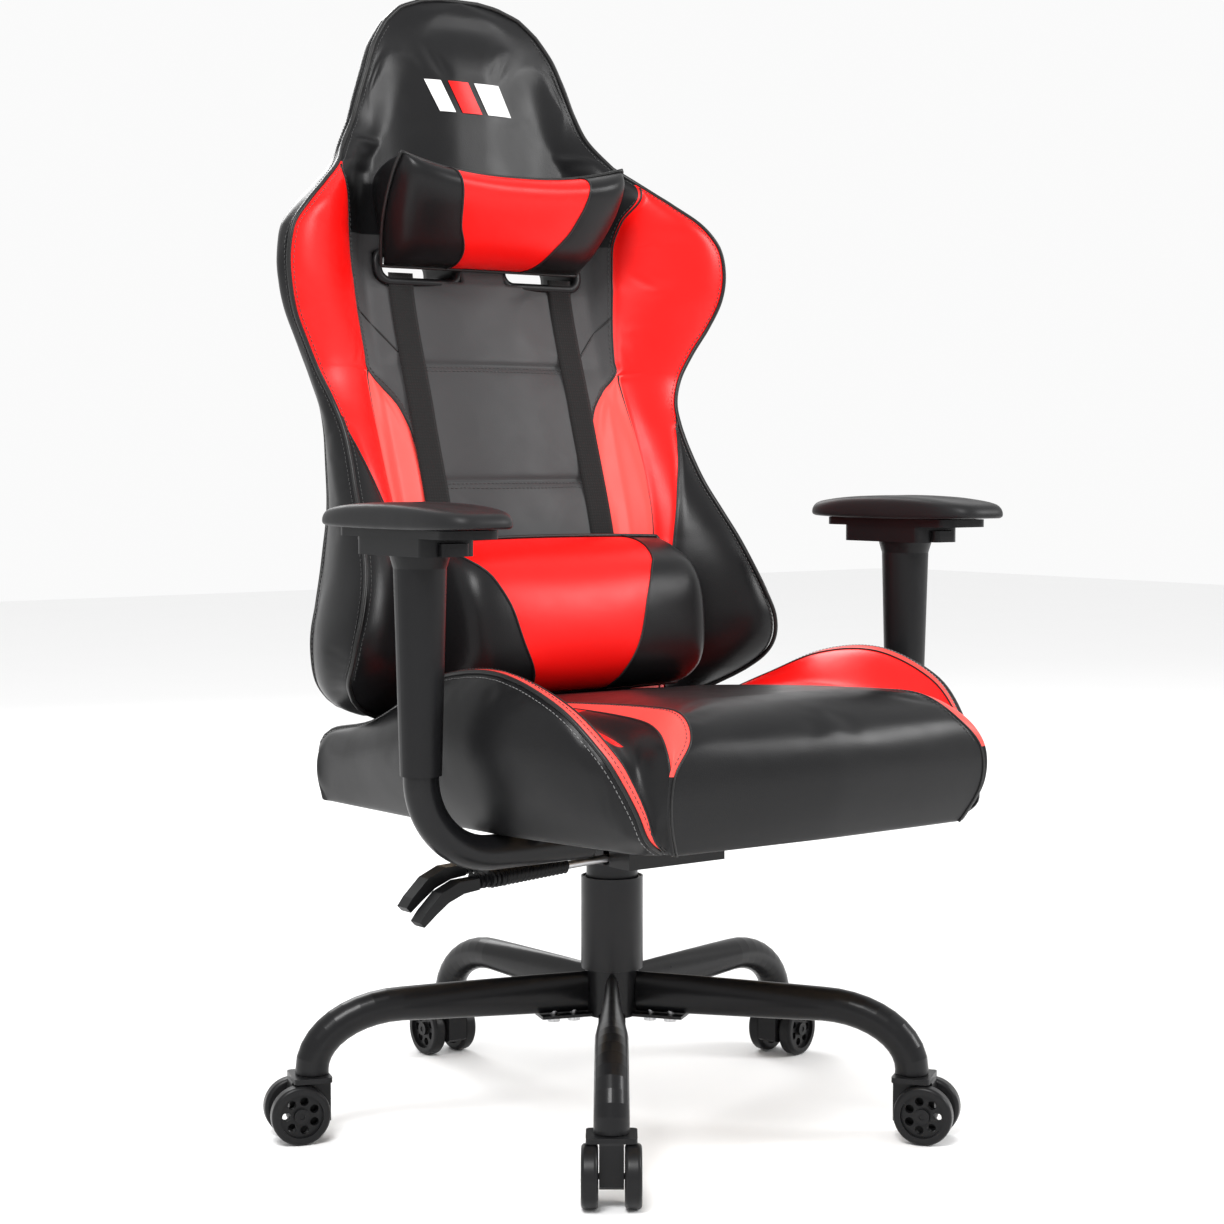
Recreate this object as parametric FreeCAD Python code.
"""Gaming chair with a five-leg tube base, gas lift, tilt mechanism, armrests and a bucket backrest.

Millimetres, +Z up, origin on the column axis at the floor. The sitter faces -Y and has -X on the right.
Each sub-part is written as one STEP file, and parts that repeat come from loops.
"""
import FreeCAD, Part
import math
import os

V = FreeCAD.Vector
X_AXIS, Y_AXIS, Z_AXIS = V(1, 0, 0), V(0, 1, 0), V(0, 0, 1)
GAP = 0.4                      # clearance left between neighbouring soft solids

# Base
LEG_COUNT = 5
FIRST_LEG_ANGLE = 232.7        # degrees from +X
LEG_PITCH = 360 / LEG_COUNT
HUB_RADIUS = 29.0
LEG_AXIS_Z = 132.0             # height of a leg's straight run
LEG_BEND_START = 227.0         # radius at which a leg starts to curve down
STEM_RADIUS = 320.0            # radius of a caster's stem
LEG_END_Z = 71.0
LEG_WALL = 2.0
LEG_SECTIONS = ((28.0, 15.5, 42.0), (85.0, 18.0, 41.0), (140.0, 23.0, 39.0), (190.0, 28.5, 37.0))
LEG_END_DIAMETER = 34.0
BEND_STEPS = 10
SECTION_POINTS = 16            # points on each of a leg's elliptical outlines
LEG_BOLT_RADII = (42.0, 64.0)
BOLT_R = 4.0
BOLT_HEAD_R = 6.5
BOLT_HEAD_H = 5.0
HUB_BOTTOM_Z = 107.5

# Casters, in a local frame: stem on Z, axle along Y, trail towards +X
WHEEL_R = 30.0
WHEEL_WIDTH = 16.0
WHEEL_CENTRE_Y = 20.25
TRAIL = 16.0
TREAD_INNER_R = 22.0
WHEEL_HUB_R = 7.5
WHEEL_WINDOWS = 7
AXLE_R = 3.0
STEM_R = 5.5
RUNNING = 0.05                 # radial clearance of a shaft in a bore

# Column
GAS_TUBE_R = 25.0
GAS_TUBE_TOP = 252.0
PRESSURE_R = 14.0
COVER_LOWER = (156.0, 253.0, 32.5, 30.5)
COVER_MIDDLE = (172.0, 252.0, 29.8, 28.0)
COVER_UPPER = (175.0, 277.0, 27.0, 25.5)

# Mechanism and levers
MECH_BOTTOM, SEAT_BASE_Z = 278.0, 333.0
MECH_X, MECH_FRONT, MECH_REAR = 62.0, -110.0, 115.0
SHEET_T = 3.0
LEVER_PIVOT_X = -25.0
LEVER_ROD_R = 4.0
HEIGHT_LEVER = (-48.0, 296.0, 291.0)     # y, pivot height, height at the boot
RECLINE_LEVER = (-72.0, 288.0, 280.0)
BACK_PIVOT = (95.0, 306.0)               # y, z
PIN_R = 6.0

# Seat
BOARD_T = 12.0
CUSHION_HALF = 160.0
SEAT_REAR = 199.0

# Backrest
SLOT_X, SLOT_HALF, SLOT_Z, SLOT_HEIGHT = 81.0, 51.0, 898.0, 34.0
BACK_LEAN = 9.0                # degrees, of the panel at the slots
CORE_HALF = 135.0
BEZEL_T = 3.0
# height, half-width of the wing, y of its front seam, y of its outer rear edge
WING_STATIONS = ((446, 235, 112, 165), (462, 272, 84, 172), (510, 277, 60, 176), (570, 258, 73, 184),
                 (630, 240, 108, 196), (690, 226, 147, 214), (740, 226, 176, 226), (800, 252, 189, 219),
                 (850, 279, 176, 206), (900, 288, 166, 201), (940, 274, 167, 204), (980, 226, 182, 228),
                 (1020, 178, 232, 262), (1065, 148, 255, 285))
# height, y of the panel's front, thickness, half-width of the core
CORE_STATIONS = ((436, 112, 92, 135), (450, 114, 95, 135), (600, 159, 94, 135), (750, 204, 76, 135),
                 (880, 243, 58, 135), (1000, 262, 56, 135), (1080, 271, 58, 135), (1115, 273, 58, 126),
                 (1150, 274, 55, 110), (1180, 277, 46, 82), (1196, 284, 30, 52))

# Armrests
ARM_X, ARM_Y = 311.0, -114.0
ARM_TUBE_R, ARM_BORE_R = 17.0, 15.0
ARM_RUN_Z, ARM_FOOT_X, ARM_BEND = 314.2, 118.0, 78.0
ARM_TUBE_TOP = 588.0
SLEEVE_BOTTOM, SLEEVE_TOP = 394.0, 600.0
PAD_BOTTOM, PAD_TOP = 625.0, 650.0
PAD_LENGTH, PAD_WIDTH = 250.0, 84.0


def cylinder(radius, bottom, top, x=0.0, y=0.0):
    return Part.makeCylinder(radius, top - bottom, V(x, y, bottom), Z_AXIS)


def tube(outer, inner, bottom, top, x=0.0, y=0.0):
    return cylinder(outer, bottom, top, x, y).cut(cylinder(inner, bottom, top, x, y))


def cylinder_x(radius, x0, x1, y, z):
    return Part.makeCylinder(radius, x1 - x0, V(x0, y, z), X_AXIS)


def cylinder_y(radius, y0, y1, x, z):
    return Part.makeCylinder(radius, y1 - y0, V(x, y0, z), Y_AXIS)


def block(x0, x1, y0, y1, z0, z1):
    return Part.makeBox(x1 - x0, y1 - y0, z1 - z0, V(x0, y0, z0))


def polygon(points):
    return Part.makePolygon([V(*p) for p in points] + [V(*points[0])])


def prism_x(outline, x0, x1):
    """Extrude a (y, z) outline along X."""
    return Part.Face(polygon([(x0, y, z) for y, z in outline])).extrude(V(x1 - x0, 0, 0))


def prism_y(outline, y0, y1):
    """Extrude an (x, z) outline along Y."""
    return Part.Face(polygon([(x, y0, z) for x, z in outline])).extrude(V(0, y1 - y0, 0))


def rounded_plate(half_x, half_y, corner, bottom, top, x=0.0, y=0.0):
    body = block(x - half_x, x + half_x, y - half_y, y + half_y, bottom, top)
    corners = [e for e in body.Edges if abs(e.BoundBox.ZLength - (top - bottom)) < 1e-6]
    return body.makeFillet(corner, corners)


def mirrored(shape):
    return shape.mirror(V(0, 0, 0), X_AXIS)


def turned(shape, degrees):
    result = shape.copy()
    result.rotate(V(0, 0, 0), Z_AXIS, degrees)
    return result


def bent_path(points, radii):
    """Straight runs through the points, joined by tangent arcs of the given radii."""
    points = [V(*p) for p in points]
    edges, start = [], points[0]
    for before, corner, after, radius in zip(points, points[1:], points[2:], radii):
        into, out = (corner - before).normalize(), (after - corner).normalize()
        half_turn = math.acos(max(-1.0, min(1.0, into.dot(out)))) / 2
        reach = radius * math.tan(half_turn)
        arc_start, arc_end = corner - into * reach, corner + out * reach
        inward = (out - into).normalize()
        middle = corner + inward * (radius / math.cos(half_turn) - radius)
        edges.append(Part.LineSegment(start, arc_start).toShape())
        edges.append(Part.Arc(arc_start, middle, arc_end).toShape())
        start = arc_end
    edges.append(Part.LineSegment(start, points[-1]).toShape())
    return Part.Wire(edges)


def sweep_round(path, radius):
    edge = path.Edges[0]
    direction = edge.tangentAt(edge.FirstParameter)
    ring = Part.Wire(Part.Circle(path.Vertexes[0].Point, direction, radius).toShape())
    return path.makePipeShell([ring], True, False)


def swept_tube(path, radius, bore):
    return sweep_round(path, radius).cut(sweep_round(path, bore))


# Base -----------------------------------------------------------------------

def ellipse_section(r, z, slope, width, height):
    """Elliptical wire across a leg at radius r; slope is the leg's downward angle there."""
    across_up = V(math.sin(slope), 0, math.cos(slope))
    points = []
    for i in range(SECTION_POINTS):
        t = 2 * math.pi * i / SECTION_POINTS
        points.append(V(r, 0, z) + across_up * (height / 2 * math.cos(t)) + V(0, width / 2 * math.sin(t), 0))
    curve = Part.BSplineCurve()
    curve.interpolate(points, PeriodicFlag=True)
    return Part.Wire(curve.toShape())


def leg_wires(wall):
    wires = [ellipse_section(r, LEG_AXIS_Z, 0.0, w - 2 * wall, h - 2 * wall) for r, w, h in LEG_SECTIONS]
    reach, drop = STEM_RADIUS - LEG_BEND_START, LEG_AXIS_Z - LEG_END_Z
    for step in range(BEND_STEPS + 1):
        t = math.pi / 2 * step / BEND_STEPS
        r = LEG_BEND_START + reach * math.sin(t)
        z = LEG_AXIS_Z - drop * (1 - math.cos(t))
        slope = math.atan2(drop * math.sin(t), reach * math.cos(t))
        size = LEG_END_DIAMETER - 2 * wall
        wires.append(ellipse_section(r, z, slope, size - 1.5 * math.cos(t), size + 1.0 * math.cos(t)))
    return wires


def leg(angle):
    outer = Part.makeLoft(leg_wires(0.0), True, True)
    inner = Part.makeLoft(leg_wires(LEG_WALL), True, True)
    solid = outer.cut(inner)
    for r in LEG_BOLT_RADII:
        solid = solid.cut(cylinder(BOLT_R, HUB_BOTTOM_Z, LEG_AXIS_Z, r))
    return turned(solid, angle)


def leg_angles():
    return [FIRST_LEG_ANGLE + LEG_PITCH * i for i in range(LEG_COUNT)]


def base_hub():
    plate_top = LEG_AXIS_Z - LEG_SECTIONS[0][2] / 2
    hub = tube(HUB_RADIUS - 1.0, GAS_TUBE_R, HUB_BOTTOM_Z, COVER_LOWER[0] - 1.0)
    for angle in leg_angles():
        arm = block(HUB_RADIUS - 3.0, 80.0, -14.0, 14.0, HUB_BOTTOM_Z, HUB_BOTTOM_Z + 3.0)
        for r in LEG_BOLT_RADII:
            arm = arm.cut(cylinder(BOLT_R, HUB_BOTTOM_Z - 1, plate_top + 1, r))
        hub = hub.fuse(turned(arm, angle))
    return hub


def base_leg_bolts():
    bolts = []
    for angle in leg_angles():
        for r in LEG_BOLT_RADII:
            shank = cylinder(BOLT_R, HUB_BOTTOM_Z, HUB_BOTTOM_Z + 14.0, r)
            head = cylinder(BOLT_HEAD_R, HUB_BOTTOM_Z - BOLT_HEAD_H, HUB_BOTTOM_Z, r)
            bolts.append(turned(shank.fuse(head), angle))
    return Part.makeCompound(bolts)


def caster_sockets():
    sockets = []
    for angle in leg_angles():
        plug = cylinder(LEG_END_DIAMETER / 2, LEG_END_Z - 3.5, LEG_END_Z, STEM_RADIUS)
        plug = plug.fuse(cylinder(13.0, LEG_END_Z, LEG_END_Z + 9, STEM_RADIUS))
        plug = plug.fuse(cylinder(7.5, LEG_END_Z, LEG_END_Z + 23, STEM_RADIUS - 0.5))
        bore = cylinder(STEM_R + RUNNING, LEG_END_Z - 5, LEG_END_Z + 21, STEM_RADIUS)
        sockets.append(turned(plug.cut(bore), angle))
    return Part.makeCompound(sockets)


# Casters --------------------------------------------------------------------

def caster_housing():
    outline = ((-17, 20), (-17, 66.5), (20, 66.5), (23, 60), (26, 33), (25, 22), (18, 18), (8, 17), (-12, 17))
    web = prism_y(outline, -11.5, 11.5)
    hood = rounded_plate(19.5, 24.0, 5.0, 61.2, 66.5, 2.5)
    stem = cylinder(STEM_R, 66.5, 90.0)
    axle_bore = cylinder_y(AXLE_R + RUNNING, -20, 20, TRAIL, WHEEL_R)
    return web.fuse(hood).fuse(stem).cut(axle_bore)


def caster_wheel(side):
    centre = side * WHEEL_CENTRE_Y
    y0, y1 = centre - WHEEL_WIDTH / 2, centre + WHEEL_WIDTH / 2
    wheel = cylinder_y(WHEEL_R, y0, y1, TRAIL, WHEEL_R)
    rims = [e for e in wheel.Edges if abs(e.Length - 2 * math.pi * WHEEL_R) < 0.1]
    wheel = wheel.makeFillet(4.0, rims)
    dish = cylinder_y(TREAD_INNER_R, y0, y0 + 4.0, TRAIL, WHEEL_R)
    dish = dish.fuse(cylinder_y(TREAD_INNER_R, y1 - 4.0, y1, TRAIL, WHEEL_R))
    wheel = wheel.cut(dish.cut(cylinder_y(WHEEL_HUB_R, y0, y1, TRAIL, WHEEL_R)))
    for i in range(WHEEL_WINDOWS):
        angle = 2 * math.pi * i / WHEEL_WINDOWS
        x = TRAIL + 14.8 * math.cos(angle)
        z = WHEEL_R + 14.8 * math.sin(angle)
        wheel = wheel.cut(cylinder_y(4.4, y0, y1, x, z))
    return wheel.cut(cylinder_y(AXLE_R, y0, y1, TRAIL, WHEEL_R))


def caster_wheels():
    reach = WHEEL_CENTRE_Y + WHEEL_WIDTH / 2 - 1.0
    axle = cylinder_y(AXLE_R, -reach, reach, TRAIL, WHEEL_R)
    return Part.makeCompound([caster_wheel(-1), caster_wheel(1), axle])


def at_stem(shape, angle):
    placed = shape.copy()
    placed.translate(V(STEM_RADIUS, 0, 0))
    return turned(placed, angle)


# Column ---------------------------------------------------------------------

def gas_outer_tube():
    bottom = HUB_BOTTOM_Z - 2.0
    wall = tube(GAS_TUBE_R, GAS_TUBE_R - 2.0, bottom + 4.0, GAS_TUBE_TOP)
    return wall.fuse(tube(GAS_TUBE_R, 5.0, bottom, bottom + 4.0))


def gas_guide_bush():
    return tube(GAS_TUBE_R - 2.0, PRESSURE_R + RUNNING, 165.0, GAS_TUBE_TOP - 1.0)


def gas_piston_rod():
    rod = cylinder(5.0, HUB_BOTTOM_Z - 6.0, 236.0)
    return rod.fuse(cylinder(11.5, 228.0, 240.0))


def gas_thrust_bearing():
    return tube(10.0, 5.0, HUB_BOTTOM_Z + 2.0, HUB_BOTTOM_Z + 8.0)


def gas_pressure_tube():
    bottom, top = 118.0, 316.0
    shell = cylinder(PRESSURE_R, bottom, top).cut(cylinder(PRESSURE_R - 2.0, bottom + 12.0, top - 12.0))
    shell = shell.cut(cylinder(5.0 + RUNNING, bottom, bottom + 12.0))
    return shell.cut(cylinder(3.0 + RUNNING, top - 12.0, top))


def gas_release_button():
    return cylinder(3.0, 306.0, 321.0)


def column_cover(sizes):
    bottom, top, outer, inner = sizes
    return tube(outer, inner, bottom, top)


# Mechanism ------------------------------------------------------------------

def mechanism_housing():
    top = SEAT_BASE_Z - SHEET_T
    pan = block(-MECH_X, MECH_X, MECH_FRONT, MECH_REAR, MECH_BOTTOM, top)
    inside = block(-MECH_X + SHEET_T, MECH_X - SHEET_T, MECH_FRONT + SHEET_T, MECH_REAR + SHEET_T,
                   MECH_BOTTOM + SHEET_T, top)
    pan = pan.cut(inside).fuse(cylinder(PRESSURE_R + 5.0, MECH_BOTTOM, MECH_BOTTOM + 34.0))
    for y, _, z in (HEIGHT_LEVER, RECLINE_LEVER):
        pan = pan.cut(block(-MECH_X - 1, -MECH_X + 4, y - 5.0, y + 5.0, z - 7.0, z + 17.0))
    pan = pan.cut(cylinder_x(PIN_R, -MECH_X, MECH_X, *BACK_PIVOT))
    plate = rounded_plate(90.0, 130.0, 14.0, top, SEAT_BASE_Z, 0.0, -5.0)
    plate = plate.cut(cylinder(12.0, top, SEAT_BASE_Z))
    for x, y in mechanism_bolt_places():
        plate = plate.cut(cylinder(BOLT_R, top, SEAT_BASE_Z, x, y))
    return pan.cut(cylinder(PRESSURE_R, MECH_BOTTOM, MECH_BOTTOM + 34.0)).fuse(plate)


def mechanism_bolt_places():
    return [(x, y) for x in (-76.0, 76.0) for y in (-110.0, 100.0)]


def arm_bolt_places():
    return [(side * x, ARM_Y + y) for side in (-1, 1) for x in (128.0, 178.0) for y in (-26.0, 26.0)]


def seat_bolts():
    bolts = []
    for x, y in mechanism_bolt_places() + arm_bolt_places():
        shank = cylinder(BOLT_R, SEAT_BASE_Z - SHEET_T, SEAT_BASE_Z + 10.0, x, y)
        bolts.append(shank.fuse(cylinder(7.0, SEAT_BASE_Z - SHEET_T - 5.0, SEAT_BASE_Z - SHEET_T, x, y)))
    return Part.makeCompound(bolts)


def lever_rod(lever, with_finger):
    y, pivot_z, boot_z = lever
    start, end = V(LEVER_PIVOT_X, y, pivot_z), V(-226.0, y, boot_z - 1.5)
    rod = Part.makeCylinder(LEVER_ROD_R, (end - start).Length, start, end - start)
    rod = rod.fuse(cylinder_y(6.0, y - 6.0, y + 6.0, LEVER_PIVOT_X, pivot_z))
    if with_finger:
        post = block(-31.0, -21.0, y - 5.0, y + 5.0, pivot_z, 325.5)
        side = block(-31.0, -21.0, y - 5.0, 5.0, 321.7, 325.5)
        tip = block(-31.0, 5.0, -5.0, 5.0, 321.7, 325.5)
        rod = rod.fuse(post).fuse(side).fuse(tip)
    return rod


def lever_grip(lever):
    """Ribbed boot and a flat grip that curves down, pushed on the rod."""
    y, _, z = lever
    boot = [Part.makeCone(6.5, 8.5, 3.0, V(-186.0 - 6.0 * i, y, z), V(-1, 0, -0.08)) for i in range(7)]
    core = Part.makeCylinder(6.0, 46.0, V(-184.0, y, z), V(-1, 0, -0.08))
    for rib in boot:
        core = core.fuse(rib)
    outline = ((-222, z + 3), (-245, z + 2), (-266, z - 7), (-284, z - 24), (-291, z - 33),
               (-286, z - 38), (-272, z - 27), (-258, z - 17), (-240, z - 10), (-222, z - 8))
    blade = prism_y(outline, y - 8.5, y + 8.5)
    start, end = V(LEVER_PIVOT_X, y, lever[1]), V(-226.0, y, z - 1.5)
    bore = Part.makeCylinder(LEVER_ROD_R, (end - start).Length, start, end - start)
    return core.fuse(blade).cut(bore)


# Seat -----------------------------------------------------------------------

def seat_board():
    outline = ((-196, -306), (196, -306), (222, -180), (226, 0), (222, 180),
               (-222, 180), (-226, 0), (-222, -180))
    board = Part.Face(polygon([(x, y, SEAT_BASE_Z) for x, y in outline])).extrude(V(0, 0, BOARD_T))
    for x, y in mechanism_bolt_places() + arm_bolt_places():
        board = board.cut(cylinder(BOLT_R, SEAT_BASE_Z, SEAT_BASE_Z + 10.0, x, y))
    return board


def seat_cushion():
    """Centre of the seat: a full front roll, and a top that stays clear of the reclining back."""
    bottom = SEAT_BASE_Z + BOARD_T
    outline = ((-322, bottom), (-346, 360), (-354, 392), (-350, 424), (-336, 447), (-308, 460), (-240, 460),
               (-150, 455), (-50, 448), (30, 439), (95, 430), (122, 426), (150, 416), (176, 406),
               (SEAT_REAR, 397), (SEAT_REAR, bottom))
    half = CUSHION_HALF - GAP / 2
    return prism_x(outline, -half, half)


def seat_bolster(side):
    """Side bolster as a loft of outlines across the seat, from the front corner to the rear."""
    bottom = SEAT_BASE_Z + BOARD_T
    stations = ((-342, 203, 193, 402), (-312, 214, 205, 414), (-285, 232, 220, 430), (-240, 247, 232, 462),
                (-151, 268, 243, 488), (-60, 274, 247, 481), (20, 268, 238, 458), (100, 256, 222, 430),
                (SEAT_REAR, 238, 205, 408))
    wires = []
    for y, outer, crest, top in stations:
        inner_top = min(top - 6, 446 if y < -50 else 424)
        points = ((CUSHION_HALF, bottom), (CUSHION_HALF, inner_top), (crest - 14, top - 2), (crest + 6, top),
                  (outer, top - 0.35 * (top - bottom)), (outer - 6, bottom))
        wires.append(polygon([(side * x, y, z) for x, z in points]))
    return Part.makeLoft(wires, True, True)


# Backrest -------------------------------------------------------------------

def core_loft():
    wires = []
    for z, front, thickness, half in CORE_STATIONS:
        rear = front + thickness
        taper = min(26.0, half * 0.35)
        wires.append(polygon([(-half, front, z), (half, front, z), (half - 0.1, front + thickness * 0.4, z),
                              (half - taper, rear, z), (taper - half, rear, z),
                              (0.1 - half, front + thickness * 0.4, z)]))
    return Part.makeLoft(wires, True, True)


def panel_at(z):
    """Front surface and thickness of the core at a height."""
    for low, high in zip(CORE_STATIONS, CORE_STATIONS[1:]):
        if low[0] <= z <= high[0]:
            t = (z - low[0]) / (high[0] - low[0])
            return low[1] + t * (high[1] - low[1]), low[2] + t * (high[2] - low[2])
    raise ValueError(z)


def lean_at_slots(shape):
    """Tilt a shape built along Y so that it follows the panel's lean at the slots."""
    result = shape.copy()
    result.rotate(V(0, panel_at(SLOT_Z)[0], SLOT_Z), X_AXIS, -BACK_LEAN)
    return result


def slot_prism(side, grow, y0, y1):
    half_x, half_z = SLOT_HALF + grow, SLOT_HEIGHT / 2 + grow
    body = block(side * SLOT_X - half_x, side * SLOT_X + half_x, y0, y1, SLOT_Z - half_z, SLOT_Z + half_z)
    corners = [e for e in body.Edges if abs(e.BoundBox.YLength - (y1 - y0)) < 1e-6]
    return body.makeFillet(half_z * 0.8, corners)


def core_with_slots():
    core = core_loft()
    front, thickness = panel_at(SLOT_Z)
    for side in (-1, 1):
        core = core.cut(lean_at_slots(slot_prism(side, 0.0, front - 40, front + thickness + 40)))
    return core


def split_block(z0, z1):
    return lean_at_slots(block(-400, 400, -400, 800, z0, z1))


def back_centre():
    return core_with_slots().common(split_block(200, SLOT_Z + SLOT_HEIGHT / 2 - 6.0))


def back_head():
    return core_with_slots().common(split_block(SLOT_Z + SLOT_HEIGHT / 2 - 6.0 + GAP, 1500))


def back_wing(side):
    wires = []
    for z, half, seam, rear in WING_STATIONS:
        front, thickness = panel_at(z)
        inner = CORE_HALF + GAP
        seam_y = min(seam, front + thickness * 0.5)
        points = ((inner, front + 2), (inner + 0.62 * (half - inner), seam_y + 0.25 * (front - seam_y)),
                  (half - 7, seam_y), (half, seam_y + 8), (half - 2, max(rear, seam_y + 16)),
                  (inner + 0.5 * (half - inner), max(rear + 6, front + 0.7 * thickness)),
                  (inner, front + thickness * 0.8))
        wires.append(polygon([(side * x, y, z) for x, y in points]))
    return Part.makeLoft(wires, True, True)


def slot_bezels():
    front, thickness = panel_at(SLOT_Z)
    y0, y1 = front - 2.0, front + thickness + 2.0
    rings = []
    for side in (-1, 1):
        ring = slot_prism(side, -GAP / 4, y0, y1).cut(slot_prism(side, -BEZEL_T, y0 - 1, y1 + 1))
        rings.append(lean_at_slots(ring))
    return Part.makeCompound(rings)


def back_frame():
    """Bent steel tube that runs round inside the foam."""
    def inside(x, z):
        front, thickness = panel_at(z)
        return (x, front + thickness / 2, z)
    sides = []
    for x in (-108.0, 108.0):
        low, high = V(*inside(x, 480)), V(*inside(x, 745))
        sides.append(Part.makeCylinder(10.0, (high - low).Length, low, high - low))
    frame = sides[0].fuse(sides[1])
    for z in (500, 600, 720):
        y = inside(0, z)[1]
        frame = frame.fuse(cylinder_x(9.0, -108.0, 108.0, y, z))
    return frame


def back_bracket():
    """Flat bar from the mechanism's pivot pin, round behind the seat, and up the back of the backrest."""
    front_low, deep_low = panel_at(450)
    rear_low = front_low + deep_low
    front_high, deep_high = panel_at(600)
    rear_high = front_high + deep_high
    t = 6.0
    y_pin, z_pin = BACK_PIVOT
    up = SEAT_REAR + 6.0
    outline = ((y_pin, z_pin - 4), (up + t, z_pin - 4), (up + t, 436), (rear_low + t, 450), (rear_high + t, 600),
               (rear_high, 600), (rear_low + 0.05, 450), (up, 436), (up, z_pin + 4), (y_pin, z_pin + 4))
    bar = prism_x(outline, -34.0, 34.0).fuse(cylinder_x(12.0, -34.0, 34.0, y_pin, z_pin))
    rib = prism_x(((150, z_pin - 4), (up + t, z_pin - 4), (up + t, 380), (up + t + 9, 372), (up + t + 7, 296),
                   (200, 292)), -3.0, 3.0)
    bar = bar.fuse(rib)
    for x, z in bracket_bolt_places():
        bar = bar.cut(bracket_shank(x, z))
    return bar.cut(cylinder_x(PIN_R + RUNNING, -40.0, 40.0, y_pin, z_pin))


def bracket_bolt_places():
    return [(x, z) for x in (-20.0, 20.0) for z in (500.0, 575.0)]


def bracket_shank(x, z):
    front, thickness = panel_at(z)
    rear = front + thickness
    return Part.makeCylinder(BOLT_R, 26.0, V(x, rear - 12.0, z + 3.0), V(0, 1, -0.29))


def back_bracket_bolts():
    bolts = []
    for x, z in bracket_bolt_places():
        front, thickness = panel_at(z)
        start = V(x, front + thickness - 12.0, z + 3.0)
        direction = V(0, 1, -0.29).normalize()
        shank = Part.makeCylinder(BOLT_R, 19.0, start, direction)
        bolts.append(shank.fuse(Part.makeCylinder(8.0, 5.0, start + direction * 18.6, direction)))
    return Part.makeCompound(bolts)


def back_pivot_pin():
    y, z = BACK_PIVOT
    pin = cylinder_x(PIN_R, -MECH_X - 1.0, MECH_X + 1.0, y, z)
    for x in (-MECH_X - 4.0, MECH_X):
        pin = pin.fuse(cylinder_x(9.0, x, x + 4.0, y, z))
    return pin


def leaning_pad(stations):
    """Loft of eight-sided outlines: height, half-width, front y, rear y."""
    wires = []
    for z, half, front, rear in stations:
        deep = rear - front
        points = ((-half, rear - 0.35 * deep), (-half, front + 0.45 * deep), (-half * 0.82, front + 0.1 * deep),
                  (0, front), (half * 0.82, front + 0.1 * deep), (half, front + 0.45 * deep),
                  (half, rear - 0.35 * deep), (half * 0.9, rear), (-half * 0.9, rear))
        wires.append(polygon([(x, y, z) for x, y in points]))
    return Part.makeLoft(wires, True, True)


def head_pillow():
    return leaning_pad(((892, 122, 206, 238), (912, 132, 180, 241), (950, 140, 168, 246), (985, 145, 170, 251),
                        (1004, 147, 188, 252)))


def lumbar_pillow():
    return leaning_pad(((452, 140, 64, 98), (480, 156, 26, 110), (530, 160, 18, 125), (575, 158, 34, 137),
                        (604, 148, 84, 144)))


def back_straps():
    """Two webbing straps that leave the slots and run down the panel behind the lumbar pillow."""
    strap_t, clear = 1.6, 1.0
    heights = (520.0, 600.0, 750.0, 868.0)
    straps = []
    for side in (-1, 1):
        front_side = [(panel_at(z)[0] - clear - strap_t, z) for z in heights]
        rear_side = [(panel_at(z)[0] - clear, z) for z in reversed(heights)]
        x = side * 110.0
        straps.append(prism_x(front_side + rear_side, x - 16.0, x + 16.0))
    return Part.makeCompound(straps)


# Armrests -------------------------------------------------------------------

def arm_tube(side):
    path = bent_path([(ARM_FOOT_X, ARM_Y, ARM_RUN_Z), (ARM_X, ARM_Y, ARM_RUN_Z), (ARM_X, ARM_Y, ARM_TUBE_TOP)],
                     [ARM_BEND])
    body = swept_tube(path, ARM_TUBE_R, ARM_BORE_R)
    top = SEAT_BASE_Z
    foot = rounded_plate(38.0, 36.0, 6.0, top - SHEET_T, top, 153.0, ARM_Y)
    for x, y in arm_bolt_places()[4:]:
        foot = foot.cut(cylinder(BOLT_R, top - SHEET_T, top, x, y))
    body = body.fuse(foot)
    return body if side > 0 else mirrored(body)


def arm_sleeve(side):
    length = SLEEVE_TOP - SLEEVE_BOTTOM
    sleeve = Part.makeCone(19.8, 25.0, length - 12.0, V(ARM_X, ARM_Y, SLEEVE_BOTTOM), Z_AXIS)
    flare = Part.makeCone(25.0, 28.5, 12.0, V(ARM_X, ARM_Y, SLEEVE_TOP - 12.0), Z_AXIS)
    sleeve = sleeve.fuse(flare).cut(cylinder(ARM_TUBE_R + 0.3, SLEEVE_BOTTOM, SLEEVE_TOP - 4.0, ARM_X, ARM_Y))
    return sleeve if side > 0 else mirrored(sleeve)


def arm_bracket(side):
    body = rounded_plate(29.0, 62.0, 12.0, SLEEVE_TOP, 617.0, ARM_X, ARM_Y + 8.0)
    pocket = block(ARM_X - 15.0, ARM_X + 15.0, ARM_Y - 60.0, ARM_Y - 28.0, SLEEVE_TOP, 613.0)
    plate = rounded_plate(31.0, 96.0, 14.0, 617.0, PAD_BOTTOM, ARM_X + 1.0, ARM_Y + 2.0)
    body = body.cut(pocket).fuse(plate)
    return body if side > 0 else mirrored(body)


def arm_button(side):
    body = block(ARM_X - 14.5, ARM_X + 14.5, ARM_Y - 63.0, ARM_Y - 32.0, SLEEVE_TOP + 0.5, 612.5)
    front = [e for e in body.Edges if e.BoundBox.YMax < ARM_Y - 62.9 and e.BoundBox.XLength < 0.1]
    body = body.makeFillet(5.0, front)
    return body if side > 0 else mirrored(body)


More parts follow.
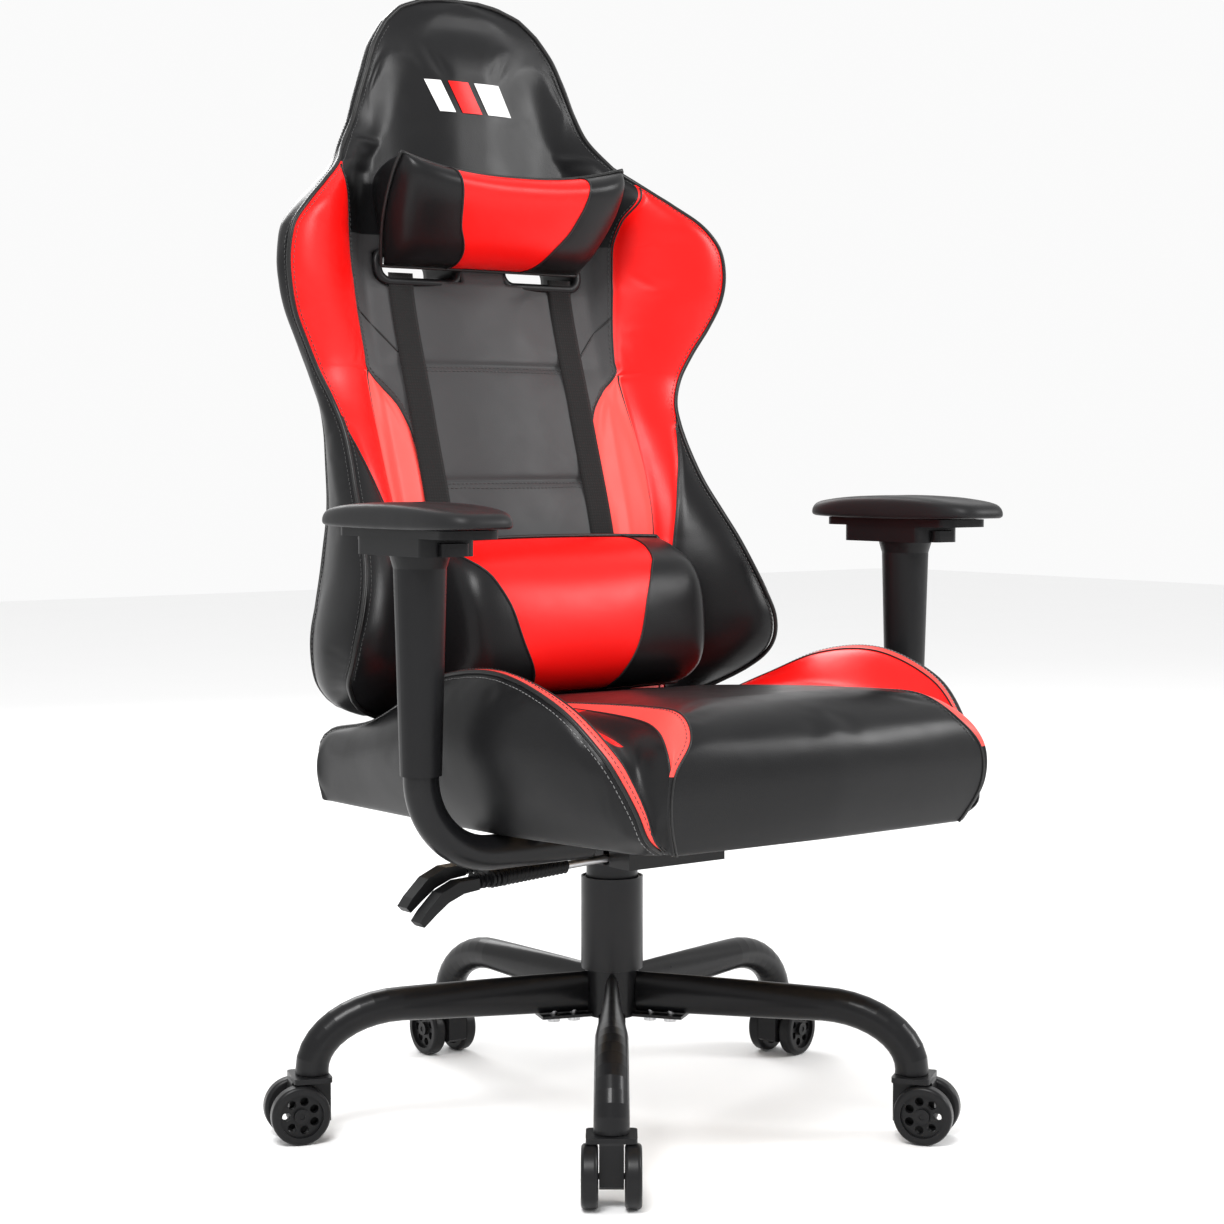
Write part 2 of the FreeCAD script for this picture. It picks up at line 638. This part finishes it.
def arm_pad(side):
    """Pad with round ends and a flat top with softened edges."""
    half_w, half_l = PAD_WIDTH / 2, PAD_LENGTH / 2
    body = rounded_plate(half_w, half_l, half_w * 0.86, PAD_BOTTOM, PAD_TOP, ARM_X + 3.0, ARM_Y + 4.0)
    top = [e for e in body.Edges if e.BoundBox.ZMin > PAD_TOP - 0.01]
    body = body.makeFillet(6.0, top)
    return body if side > 0 else mirrored(body)


def make_parts():
    parts = {"base_hub": base_hub(), "base_leg_bolts": base_leg_bolts(), "caster_sockets": caster_sockets()}
    housing, wheels = caster_housing(), caster_wheels()
    for i, angle in enumerate(leg_angles(), start=1):
        parts[f"base_leg_{i}"] = leg(angle)
        parts[f"caster_{i}_housing"] = at_stem(housing, angle)
        parts[f"caster_{i}_wheels"] = at_stem(wheels, angle)
    parts["gas_outer_tube"] = gas_outer_tube()
    parts["gas_guide_bush"] = gas_guide_bush()
    parts["gas_piston_rod"] = gas_piston_rod()
    parts["gas_thrust_bearing"] = gas_thrust_bearing()
    parts["gas_pressure_tube"] = gas_pressure_tube()
    parts["gas_release_button"] = gas_release_button()
    parts["column_cover_lower"] = column_cover(COVER_LOWER)
    parts["column_cover_middle"] = column_cover(COVER_MIDDLE)
    parts["column_cover_upper"] = column_cover(COVER_UPPER)
    parts["mechanism_housing"] = mechanism_housing()
    parts["seat_bolts"] = seat_bolts()
    parts["height_lever_rod"] = lever_rod(HEIGHT_LEVER, True)
    parts["height_lever_grip"] = lever_grip(HEIGHT_LEVER)
    parts["recline_lever_rod"] = lever_rod(RECLINE_LEVER, False)
    parts["recline_lever_grip"] = lever_grip(RECLINE_LEVER)
    parts["seat_board"] = seat_board()
    parts["seat_cushion"] = seat_cushion()
    parts["back_bracket"] = back_bracket()
    parts["back_bracket_bolts"] = back_bracket_bolts()
    parts["back_pivot_pin"] = back_pivot_pin()
    parts["back_frame"] = back_frame()
    parts["back_centre"] = back_centre()
    parts["back_head"] = back_head()
    parts["slot_bezels"] = slot_bezels()
    parts["back_straps"] = back_straps()
    parts["head_pillow"] = head_pillow()
    parts["lumbar_pillow"] = lumbar_pillow()
    for name, side in (("left", 1), ("right", -1)):
        parts[f"seat_bolster_{name}"] = seat_bolster(side)
        parts[f"back_wing_{name}"] = back_wing(side)
        parts[f"armrest_{name}_tube"] = arm_tube(side)
        parts[f"armrest_{name}_sleeve"] = arm_sleeve(side)
        parts[f"armrest_{name}_bracket"] = arm_bracket(side)
        parts[f"armrest_{name}_button"] = arm_button(side)
        parts[f"armrest_{name}_pad"] = arm_pad(side)
    return parts


os.makedirs("parts", exist_ok=True)
for name, shape in make_parts().items():
    shape.exportStep(f"parts/{name}.step")
    print(f"{name:24s} solids {len(shape.Solids)}  valid {shape.isValid()}  {shape.Volume / 1000:.1f} cm3")
